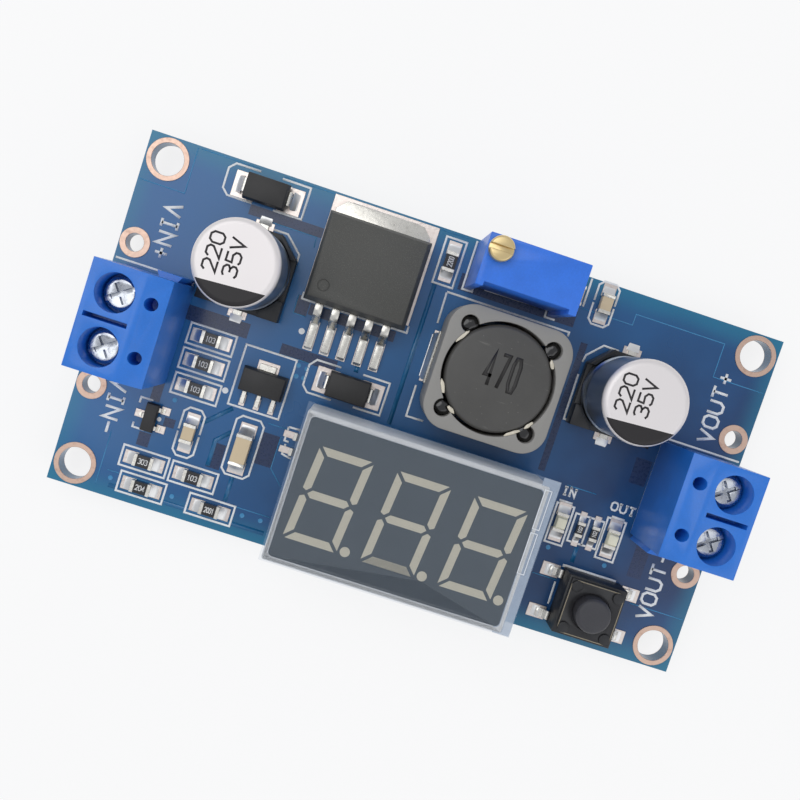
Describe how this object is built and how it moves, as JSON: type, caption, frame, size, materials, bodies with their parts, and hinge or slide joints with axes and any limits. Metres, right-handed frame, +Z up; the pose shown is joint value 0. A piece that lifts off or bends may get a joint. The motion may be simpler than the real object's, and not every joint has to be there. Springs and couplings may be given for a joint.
{
  "type": "buck converter module",
  "caption": "Blue buck converter module with screw terminals at both ends, shielded inductor, can capacitors, trimmer, push switch and a seven-segment voltage display.",
  "frame": {"origin": "centre of the four mounting holes on the board's underside", "axes": "+X along the board from input to output, +Y from the display edge to the regulator edge, +Z up off the board's component side"},
  "size_m": [0.066, 0.0358, 0.0142],
  "materials": {
    "solder_mask": "satin blue solder mask over copper",
    "tinned_copper": "bare tinned copper",
    "solder": "bright solder",
    "terminal_plastic": "moulded blue, satin",
    "tinned_metal": "tin plated",
    "screw_steel": "zinc plated steel",
    "cage_steel": "nickel plated",
    "can_aluminium": "satin can",
    "base_plastic": "matt black",
    "moulding_compound": "fine matt epoxy",
    "ferrite": "sintered, dull",
    "copper_wire": "enamelled wire",
    "trimmer_plastic": "moulded blue, satin",
    "brass": "turned",
    "display_shell_plastic": "moulded white",
    "display_black": "printed black",
    "segment_resin": "milky resin",
    "clear_film": "clear film",
    "switch_plastic": "moulded black",
    "switch_cover_metal": "black plate",
    "dome_metal": "spring steel",
    "ceramic_tan": "fired ceramic",
    "led_resin": "milky resin"
  },
  "bodies": {
    "module": {"board": "solder_mask", "hole_rings": "tinned_copper", "solder_lands": "tinned_copper", "solder_joints": "solder", "input_terminal_housing": "terminal_plastic", "input_terminal_contacts": "tinned_metal", "output_terminal_housing": "terminal_plastic", "output_terminal_contacts": "tinned_metal", "input_capacitor_can": "can_aluminium", "input_capacitor_base": "base_plastic", "input_capacitor_leads": "tinned_metal", "output_capacitor_can": "can_aluminium", "output_capacitor_base": "base_plastic", "output_capacitor_leads": "tinned_metal", "regulator_body": "moulding_compound", "regulator_tab": "tinned_metal", "regulator_leads": "tinned_metal", "inductor_shield": "ferrite", "inductor_drum": "ferrite", "inductor_winding": "copper_wire", "inductor_clips": "tinned_metal", "trimmer_housing": "trimmer_plastic", "trimmer_pins": "tinned_metal", "display_shell": "display_shell_plastic", "display_front": "display_black", "display_segments": "segment_resin", "display_film": "clear_film", "display_pins": "tinned_metal", "display_driver_body": "moulding_compound", "display_driver_leads": "tinned_metal", "switch_base": "switch_plastic", "switch_cover": "switch_cover_metal", "switch_dome": "dome_metal", "switch_leads": "tinned_metal", "input_diode_body": "moulding_compound", "input_diode_leads": "tinned_metal", "catch_diode_body": "moulding_compound", "catch_diode_leads": "tinned_metal", "logic_supply_body": "moulding_compound", "logic_supply_leads": "tinned_metal", "transistor_body": "moulding_compound", "transistor_leads": "tinned_metal", "chip_resistors": "moulding_compound", "chip_resistor_ends": "tinned_metal", "ceramic_capacitors": "ceramic_tan", "ceramic_capacitor_ends": "tinned_metal", "indicator_leds": "led_resin", "indicator_led_ends": "tinned_metal"},
    "input_plus_screw": {"input_plus_screw": "screw_steel"},
    "input_minus_screw": {"input_minus_screw": "screw_steel"},
    "output_plus_screw": {"output_plus_screw": "screw_steel"},
    "output_minus_screw": {"output_minus_screw": "screw_steel"},
    "input_plus_cage": {"input_plus_cage": "cage_steel"},
    "input_minus_cage": {"input_minus_cage": "cage_steel"},
    "output_plus_cage": {"output_plus_cage": "cage_steel"},
    "output_minus_cage": {"output_minus_cage": "cage_steel"},
    "trimmer_screw": {"trimmer_screw": "brass"},
    "switch_button": {"switch_button": "switch_plastic"}
  },
  "joints": [
    {"name": "input_plus_cage_lift", "type": "slide", "parent": "module", "child": "input_plus_cage", "axis": [0, 0, 1], "range_m": [0, 0.0019]},
    {"name": "input_plus_screw_turn", "type": "hinge", "parent": "module", "child": "input_plus_screw", "pos_m": [-0.02915, 0.0022, 0.009], "axis": [0, 0, 1], "range_deg": [-1368, 0]},
    {"name": "input_minus_cage_lift", "type": "slide", "parent": "module", "child": "input_minus_cage", "axis": [0, 0, 1], "range_m": [0, 0.0019]},
    {"name": "input_minus_screw_turn", "type": "hinge", "parent": "module", "child": "input_minus_screw", "pos_m": [-0.02915, -0.0028, 0.009], "axis": [0, 0, 1], "range_deg": [-1368, 0]},
    {"name": "output_plus_cage_lift", "type": "slide", "parent": "module", "child": "output_plus_cage", "axis": [0, 0, 1], "range_m": [0, 0.0019]},
    {"name": "output_plus_screw_turn", "type": "hinge", "parent": "module", "child": "output_plus_screw", "pos_m": [0.02915, 0.0022, 0.009], "axis": [0, 0, 1], "range_deg": [-1368, 0]},
    {"name": "output_minus_cage_lift", "type": "slide", "parent": "module", "child": "output_minus_cage", "axis": [0, 0, 1], "range_m": [0, 0.0019]},
    {"name": "output_minus_screw_turn", "type": "hinge", "parent": "module", "child": "output_minus_screw", "pos_m": [0.02915, -0.0028, 0.009], "axis": [0, 0, 1], "range_deg": [-1368, 0]},
    {"name": "trimmer_screw_turn", "type": "hinge", "parent": "module", "child": "trimmer_screw", "pos_m": [0.00185, 0.01645, 0.012], "axis": [0, 0, 1], "continuous": true},
    {"name": "button_press", "type": "slide", "parent": "module", "child": "switch_button", "axis": [0, 0, -1], "range_m": [0, 0.00025], "stiffness_N_per_m": 6000, "deforming": ["switch_dome"]}
  ],
  "couplings": [
    {"joint": "input_plus_screw_turn", "follows": "input_plus_cage_lift", "rad_per_m": -12566},
    {"joint": "input_minus_screw_turn", "follows": "input_minus_cage_lift", "rad_per_m": -12566},
    {"joint": "output_plus_screw_turn", "follows": "output_plus_cage_lift", "rad_per_m": -12566},
    {"joint": "output_minus_screw_turn", "follows": "output_minus_cage_lift", "rad_per_m": -12566}
  ]
}
